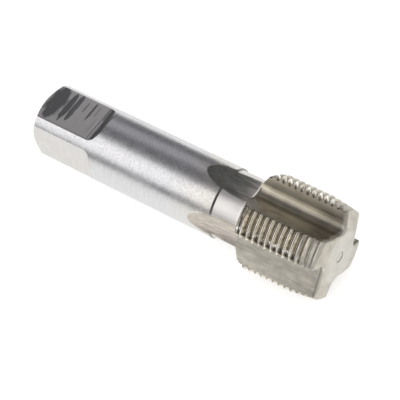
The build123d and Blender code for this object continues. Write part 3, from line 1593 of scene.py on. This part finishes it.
@dataclass(frozen=True)
class CutThread(Steel):
    """The threaded lands: bright crests, grooves darkened to their roots with painted shade, and painted
    highlights in spots near the lower edge of each land.
    """

    speckle: Mark = Mark(0.8, 0.9, 2.0, 2.0, tone=0.1, roughness=0.05, height=0.0012)
    wear: Mark = Mark(1.2, 1.8, 2.0, tone=0.3)
    groove_colour: Colour = (0.25, 0.215, 0.165)
    groove_shade_span: Span = (0.15, 1.05)
    speckle_shade: float = 0.3
    first_reach: float = 5.0
    first_darkening: float = 0.15
    first_speckle: float = 0.8
    far_span: Span = (4.0, 7.5)
    far_groove_shade: float = 0.3
    far_crest_shade: float = 0.25
    lead_shade: float = 1.3
    lead_clear: float = 0.45
    lead_dim: float = 0.15
    lead_roughness: float = 0.15
    unshaded_back: Span = (0.45, 0.6)
    rim: Span = (-1.5, -1.0)
    rim_colour: Colour = (0.62, 0.59, 0.52)
    rim_wax: float = 0.55
    painted_glint_colour: Colour = (1.0, 0.98, 0.92)
    glints: Mark = Mark(1.6, 1.2, 1.0, 12.0)
    glints_span: Span = (-0.3, 0.3)
    glints_start: Span = (0.06, 0.09)
    glints_end: Span = (0.11, 0.14)

    def _painted_groove_shade(self, place: Place, speckle: Value, far_side: Value, lead: Value) -> Value:
        """Works out how dark the painted shade in the grooves is.

        Args:
            place: The shaded point.
            speckle: The pattern of the speckle.
            far_side: One on the side where the painted shade is thick, else nil.
            lead: One on the lead, else nil.

        Returns:
            Nil where no shade is painted and one where the painted shade is full.
        """
        sizes = self.sizes
        fall = (place.x - sizes.lead_start).at_least(0.0) * slope(sizes.lead_angle)
        depth = (sizes.thread_radius - fall - place.radius) / sizes.thread_depth
        first = 1.0 - place.x.ramp(sizes.shoulder_end, sizes.shoulder_end + self.first_reach)
        groove_shade = depth * (lead * self.lead_shade + 1.0) - lead * self.lead_clear
        groove_shade = groove_shade + speckle * (first * self.first_speckle + self.speckle_shade)
        groove_shade = groove_shade + first * self.first_darkening + far_side * self.far_groove_shade
        return groove_shade.ramp(*self.groove_shade_span) * (place.x - sizes.head_back).ramp(*self.unshaded_back)

    def _painted_glints(self, place: Place) -> Value:
        """Works out where painted highlights lie on the crests, in spots near the lower edge of each land.

        Args:
            place: The shaded point.

        Returns:
            One in the middle of a spot and nil outside.
        """
        across = (place.angle * (QUARTERS / (2 * math.pi)) - 0.5).turns_left()
        low_edge = across.ramp(*self.glints_start) * (1.0 - across.ramp(*self.glints_end))
        return place.pattern(self.glints).ramp(*self.glints_span) * low_edge

    def surface(self, place: Place) -> Surface:
        """Works out the finish at a point.

        Args:
            place: The shaded point.

        Returns:
            The finish there.
        """
        sizes, tree = self.sizes, place.tree
        speckle, wear = place.pattern(self.speckle), place.pattern(self.wear)
        far_side = place.y.ramp(*self.far_span)
        lead = place.x.ramp(sizes.lead_start, sizes.lead_start + sizes.lead_length / 2)
        worn = wear * self.wear.tone + speckle * self.speckle.tone
        # The crests on the far side are darkened with painted shade.
        crest = tree.tone(self.colour, worn - lead * self.lead_dim - far_side * self.far_crest_shade)
        # The grooves are darkened towards their roots with painted shade.
        with_painted_shade = tree.mix(self._painted_groove_shade(place, speckle, far_side, lead), crest, self.groove_colour)
        # Painted highlights in spots near the lower edge of each land.
        lit = tree.mix(self._painted_glints(place) * (1.0 - lead), with_painted_shade, self.painted_glint_colour)
        rim = (place.x - sizes.length).ramp(*self.rim)
        colour = tree.mix(rim, lit, self.rim_colour)
        roughness = speckle * self.speckle.roughness + lead * self.lead_roughness + self.roughness
        return Surface(colour, roughness, speckle * self.speckle.height, 1.0 - rim * self.rim_wax)


@dataclass(frozen=True)
class TurnedEnd(TurnedSteel):
    """The faced ends, duller, with painted shade that makes them darker and warmer towards their rim, a
    painted dark ring at the hole's mouth, and wax in the centre hole.
    """

    blotches: Mark = Mark(5.0, 3.0, 3.0, tone=0.17, roughness=0.05, height=0.004)
    rim_colour: Colour = (0.56, 0.52, 0.44)
    rim_clouds: Mark = Mark(3.0, 2.2, 2.0, 9.0, tone=0.28)
    rim_waver: float = 0.4
    rim_width: float = 1.2
    rim_wax: float = 0.3
    mouth_place: float = 0.05
    mouth_width: Span = (0.06, 0.22)
    mouth_painted_shade: float = 0.45
    wax: Span = (-0.15, -0.03)
    wax_colour: Colour = (0.86, 0.84, 0.77)
    wax_roughness: float = 0.2

    def surface(self, place: Place) -> Surface:
        """Works out the finish at a point.

        Args:
            place: The shaded point.

        Returns:
            The finish there.
        """
        plain, tree, radius = super().surface(place), place.tree, place.radius
        rim_start, hole = self.sizes.face_foot, self.sizes.hole_radius
        clouds = place.pattern(self.rim_clouds)
        # Painted shade makes the face darker and warmer towards its rim.
        rim = (radius + clouds * self.rim_waver).ramp(rim_start, rim_start + self.rim_width)
        painted_rim_shade = tree.tone(self.rim_colour, clouds * self.rim_clouds.tone)
        # A dark ring of painted shade at the mouth of the centre hole.
        mouth = radius.near(hole + self.mouth_place, *self.mouth_width)
        faced = tree.tone(tree.mix(rim, plain.colour, painted_rim_shade), mouth * -self.mouth_painted_shade)
        wax = 1.0 - (radius - hole).ramp(*self.wax)
        colour = tree.mix(wax, faced, self.wax_colour)
        metallic = 1.0 - wax - rim * self.rim_wax
        return Surface(colour, plain.roughness + wax * self.wax_roughness, plain.height, metallic)


def finishes(sizes: TapSizes) -> dict[Zone, bpy.types.Material]:
    """Makes the material of each zone of the tap.

    Args:
        sizes: The sizes of the tool.

    Returns:
        The materials.
    """
    bar_rings = Mark(0.3, 4.0, 3.0, tone=0.1, roughness=0.04, height=0.0007)
    runout_streaks = Mark(7.0, 0.45, 3.0, tone=0.4, roughness=0.05, height=0.002)
    flute_streaks = Mark(7.0, 0.45, 3.0, tone=0.24, roughness=0.05, height=0.002)
    runout_clouds = Mark(4.0, 2.5, 2.0, 5.0, tone=0.1)
    flute_clouds = Mark(4.0, 2.5, 2.0, 5.0, tone=0.3)
    # The lower hollows get lighter colours than the upper ones below: painted shade on the upper side.
    runout_low, flute_low = (0.61, 0.555, 0.49), (0.67, 0.63, 0.54)
    kinds = {
        Zone.SHANK: GroundBar(sizes, "ground_shank", (0.74, 0.73, 0.735), 0.33, bar_rings),
        Zone.SQUARE: MilledFlat(sizes, "milled_square", (0.72, 0.70, 0.675), 0.33),
        Zone.RUNOUT: GroundRunout(
            sizes, "ground_runout", (0.42, 0.42, 0.37), 0.38, runout_low, runout_streaks, runout_clouds
        ),
        Zone.FLUTE: GroundFlute(
            sizes, "ground_flute", (0.44, 0.4, 0.325), 0.42, flute_low, flute_streaks, flute_clouds
        ),
        Zone.THREAD: CutThread(sizes, "cut_thread", (0.84, 0.79, 0.68), 0.26),
        Zone.TURNED_END: TurnedEnd(sizes, "turned_end", (0.64, 0.615, 0.55), 0.35),
    }
    return {zone: steel.material() for zone, steel in kinds.items()}


# ---------------------------------------------------------------------------------------------
# The whole tap
# ---------------------------------------------------------------------------------------------


@dataclass(frozen=True)
class Tap:
    """The whole tool, one piece of steel."""

    sizes: TapSizes

    SHARP = 24.0
    JOIN_WITHIN = 2e-6
    DEGENERATE_BELOW = 1e-7

    def build(self) -> bpy.types.Object:
        """Builds, threads and dresses the tap, and sets it in the frame.

        Returns:
            The finished piece.
        """
        form = TapForm(self.sizes, Columns(), Rings())
        piece = form.build()
        LOG.info("skin of %d rings", len(form.rings))
        ThreadCutter(self.sizes, finishes(self.sizes)).cut(piece)
        self._settle(piece.data)
        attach(piece, "root")
        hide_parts("tap")
        LOG.info("%s: %d faces", piece.name, len(piece.data.polygons))
        return piece

    def _settle(self, mesh: bpy.types.Mesh) -> None:
        """Joins points that lie together, leaves sharp corners sharp and drops what is stored.

        Args:
            mesh: The threaded mesh, which is changed.
        """
        made = bmesh.new()
        made.from_mesh(mesh)
        bmesh.ops.remove_doubles(made, verts=made.verts, dist=self.JOIN_WITHIN)
        bmesh.ops.dissolve_degenerate(made, edges=made.edges, dist=self.DEGENERATE_BELOW)
        for face in made.faces:
            face.smooth = True
        for edge in made.edges:
            edge.smooth = edge.calc_face_angle(0.0) < math.radians(self.SHARP)
        made.to_mesh(mesh)
        made.free()
        for name in STORED:
            stored = mesh.attributes.get(name)
            if stored is not None:
                mesh.attributes.remove(stored)
        mesh.update()


# ---------------------------------------------------------------------------------------------
# The studio
# ---------------------------------------------------------------------------------------------


@dataclass(frozen=True)
class Viewpoint:
    """Where the camera stands: the point it looks at, in millimetres, and its angles in degrees."""

    aim: tuple[float, float, float] = (51.767, -2.938, 0.0)
    azimuth: float = 40.036
    elevation: float = 50.781
    roll: float = -7.097
    distance: float = 501.52
    lens: float = 172.107
    sensor: float = 36.0
    nearest: float = 0.01
    farthest: float = 20.0

    def camera(self) -> bpy.types.Object:
        """Makes the scene's camera.

        Returns:
            The camera.
        """
        data = bpy.data.cameras.new("camera")
        data.lens, data.sensor_width = self.lens, self.sensor
        data.clip_start, data.clip_end = self.nearest, self.farthest
        camera = bpy.data.objects.new("camera", data)
        turn, rise = math.radians(self.azimuth), math.radians(self.elevation)
        level = math.cos(rise)
        back = Vector((math.sin(turn) * level, -math.cos(turn) * level, math.sin(rise)))
        facing = Euler((math.pi / 2 - rise, 0.0, turn)).to_matrix()
        rolled = facing @ Matrix.Rotation(math.radians(self.roll), 3, "Z")
        place = Vector(self.aim) * MM + back * self.distance * MM
        camera.matrix_world = Matrix.LocRotScale(place, rolled, None)
        bpy.context.collection.objects.link(camera)
        bpy.context.scene.camera = camera
        return camera


@dataclass(frozen=True)
class Card:
    """A flat panel that only the steel's reflections see, facing the tool."""

    name: str
    way: tuple[float, float, float]
    distance: float
    width: float
    height: float
    radiance: float
    tint: Colour = (1.0, 1.0, 1.0)

    def build(self) -> bpy.types.Object:
        """Makes the panel.

        Returns:
            The panel.
        """
        way = Vector(self.way).normalized()
        facing = way.to_track_quat("Z", "Y").to_matrix()
        corners = [
            way * self.distance + facing @ Vector((x * self.width / 2, y * self.height / 2, 0.0))
            for x, y in CORNERS
        ]
        made, tree = new_material(self.name)
        inputs = {"Color": (*self.tint, 1.0), "Strength": self.radiance}
        glow = tree.add("ShaderNodeEmission", inputs=inputs)
        tree.add("ShaderNodeOutputMaterial", inputs={"Surface": glow.outputs[0]})
        panel = new_panel(self.name, corners, made)
        panel.visible_camera = panel.visible_diffuse = panel.visible_shadow = False
        return panel


@dataclass(frozen=True)
class Studio:
    """A white table in a dark room, with one large soft light and grey walls that the steel mirrors."""

    floor_span: float = 3.0
    floor_shade: float = 0.7
    floor_glow: float = 0.5
    mirrored_floor: float = 1.06
    mirrored_back: float = 1.3
    mirrored_reach: Span = (-0.15, -0.10)
    mirrored_back_reach: Span = (0.02, 0.12)
    light_way: tuple[float, float, float] = (-0.40, -0.68, 0.61)
    light_distance: float = 0.9
    light_width: float = 1.0
    light_height: float = 0.79
    light_radiance: float = 1.14
    room: float = 0.15
    room_tint: Colour = (1.0, 0.985, 1.07)
    cards: tuple[Card, ...] = (
        Card("back_wall", (-0.42, 0.56, 0.71), 0.9, 0.5, 0.4, 0.5, (0.97, 0.965, 1.02)),
        Card("end_wall", (0.9, 0.06, 0.43), 0.9, 0.3, 0.3, 1.0),
    )

    def build(self, sizes: TapSizes) -> None:
        """Makes the table, the light and the room.

        Args:
            sizes: The sizes of the tool, which lies on the table on two lands and its shank.
        """
        self._world()
        new_panel("table", self._table_corners(sizes), self._table_material())
        self._light()
        for card in self.cards:
            card.build()

    def _world(self) -> None:
        """The room: white all round but dark to what the steel mirrors."""
        world = bpy.data.worlds.new("room")
        bpy.context.scene.world = world
        world.use_nodes = True
        tree = Tree(world.node_tree)
        mirrored = tree.add("ShaderNodeLightPath").outputs["Is Glossy Ray"]
        dark = tuple(self.room * part for part in self.room_tint)
        colour = tree.mix(mirrored, (1.0, 1.0, 1.0), dark)
        glow = tree.add("ShaderNodeBackground", inputs={"Color": colour, "Strength": 1.0})
        tree.add("ShaderNodeOutputWorld", inputs={"Surface": glow.outputs[0]})

    def _table_corners(self, sizes: TapSizes) -> list[Vector]:
        """Works out where the table lies.

        Args:
            sizes: The sizes of the tool, whose lands and shank rest on the table.

        Returns:
            The four corners of the table top, in metres.
        """
        land_low = -sizes.thread_radius * math.cos(math.radians(sizes.half_flute))
        climb = (-sizes.shank_radius - land_low) / (sizes.bevel_end - sizes.square_end)
        reach = self.floor_span / 2
        corners = []
        for side_x, side_y in CORNERS:
            rise = land_low * MM - (side_x * reach - sizes.bevel_end * MM) * climb
            corners.append(Vector((side_x * reach, side_y * reach, rise)))
        return corners

    def _table_material(self) -> bpy.types.Material:
        """Makes the table's white, which is brighter to the camera and has its own level in the steel.

        Returns:
            The material, clear from below.
        """
        made, tree = new_material("white_table")
        path = tree.add("ShaderNodeLightPath").outputs
        mirrored = path["Is Glossy Ray"]
        seen = Value(tree, path["Is Camera Ray"]) + Value(tree, mirrored)
        seen = (seen + Value(tree, path["Is Transmission Ray"])).at_most(1.0)
        matt = tree.add("ShaderNodeBsdfDiffuse", inputs={"Color": (*[self.floor_shade] * 3, 1.0)})
        glow = tree.add("ShaderNodeEmission", inputs={"Color": tree.grey(seen * self.floor_glow)})
        both = tree.add("ShaderNodeAddShader", inputs={0: matt.outputs[0], 1: glow.outputs[0]})
        _, y, _ = tree.parts(tree.add("ShaderNodeTexCoord").outputs["Object"])
        front = self.mirrored_floor - self.room
        back = y.ramp(*self.mirrored_back_reach) * (self.mirrored_back - self.mirrored_floor)
        level = y.ramp(*self.mirrored_reach) * (back + front) + self.room
        image = tree.add("ShaderNodeEmission", inputs={"Color": tree.grey(level)})
        inputs = {0: mirrored, 1: both.outputs[0], 2: image.outputs[0]}
        shown = tree.add("ShaderNodeMixShader", inputs=inputs)
        below = tree.add("ShaderNodeNewGeometry").outputs["Backfacing"]
        clear = tree.add("ShaderNodeBsdfTransparent").outputs[0]
        sided = tree.add("ShaderNodeMixShader", inputs={0: below, 1: shown.outputs[0], 2: clear})
        tree.add("ShaderNodeOutputMaterial", inputs={"Surface": sided.outputs[0]})
        return made

    def _light(self) -> None:
        """The large soft light in front."""
        data = bpy.data.lights.new("soft_light", "AREA")
        data.shape = "RECTANGLE"
        data.size, data.size_y = self.light_width, self.light_height
        data.energy = self.light_radiance * math.pi * self.light_width * self.light_height
        lamp = bpy.data.objects.new("soft_light", data)
        way = Vector(self.light_way).normalized()
        lamp.location = way * self.light_distance
        lamp.rotation_euler = way.to_track_quat("Z", "Y").to_euler()
        bpy.context.collection.objects.link(lamp)


def main() -> None:
    """Builds the tap and the studio."""
    logging.basicConfig(level=logging.INFO, format="%(name)s: %(message)s")
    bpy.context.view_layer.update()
    bpy.context.scene.view_settings.view_transform = "Standard"
    sizes = TapSizes.from_frame()
    Viewpoint().camera()
    Tap(sizes).build()
    Studio().build(sizes)


if __name__ == "__main__":
    main()
